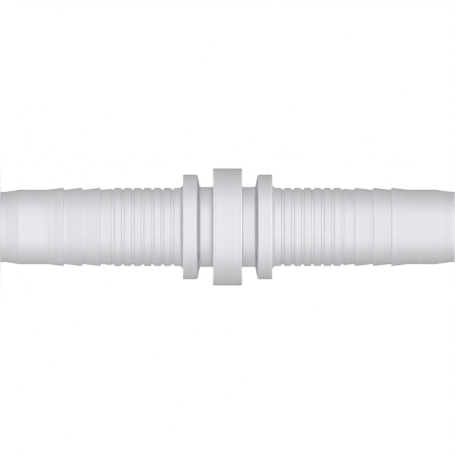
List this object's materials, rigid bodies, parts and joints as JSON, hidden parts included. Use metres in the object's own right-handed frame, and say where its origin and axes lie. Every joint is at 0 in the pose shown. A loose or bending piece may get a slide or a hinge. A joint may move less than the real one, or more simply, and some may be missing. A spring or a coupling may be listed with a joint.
{
  "type": "crimp hose fitting",
  "caption": "Double-ended crimp insert that joins two pressure hoses: a straight bored turned piece with barbed and grooved tails, a lock flange on each and a round stop collar between them.",
  "frame": {"origin": "centre of the lower end face, which the piece stands on", "axes": "+Z along the bore, up from the lower tail through the collar to the upper tail; X and Y are any pair square to it, because the piece is round"},
  "size_m": [0.0198, 0.0198, 0.0769],
  "materials": {
    "zinc_plated_steel": "turned free-cutting steel with satin, pale grey zinc plating; fine turning marks round the axis"
  },
  "bodies": {
    "root": {"hose_joiner": "zinc_plated_steel"}
  },
  "joints": []
}
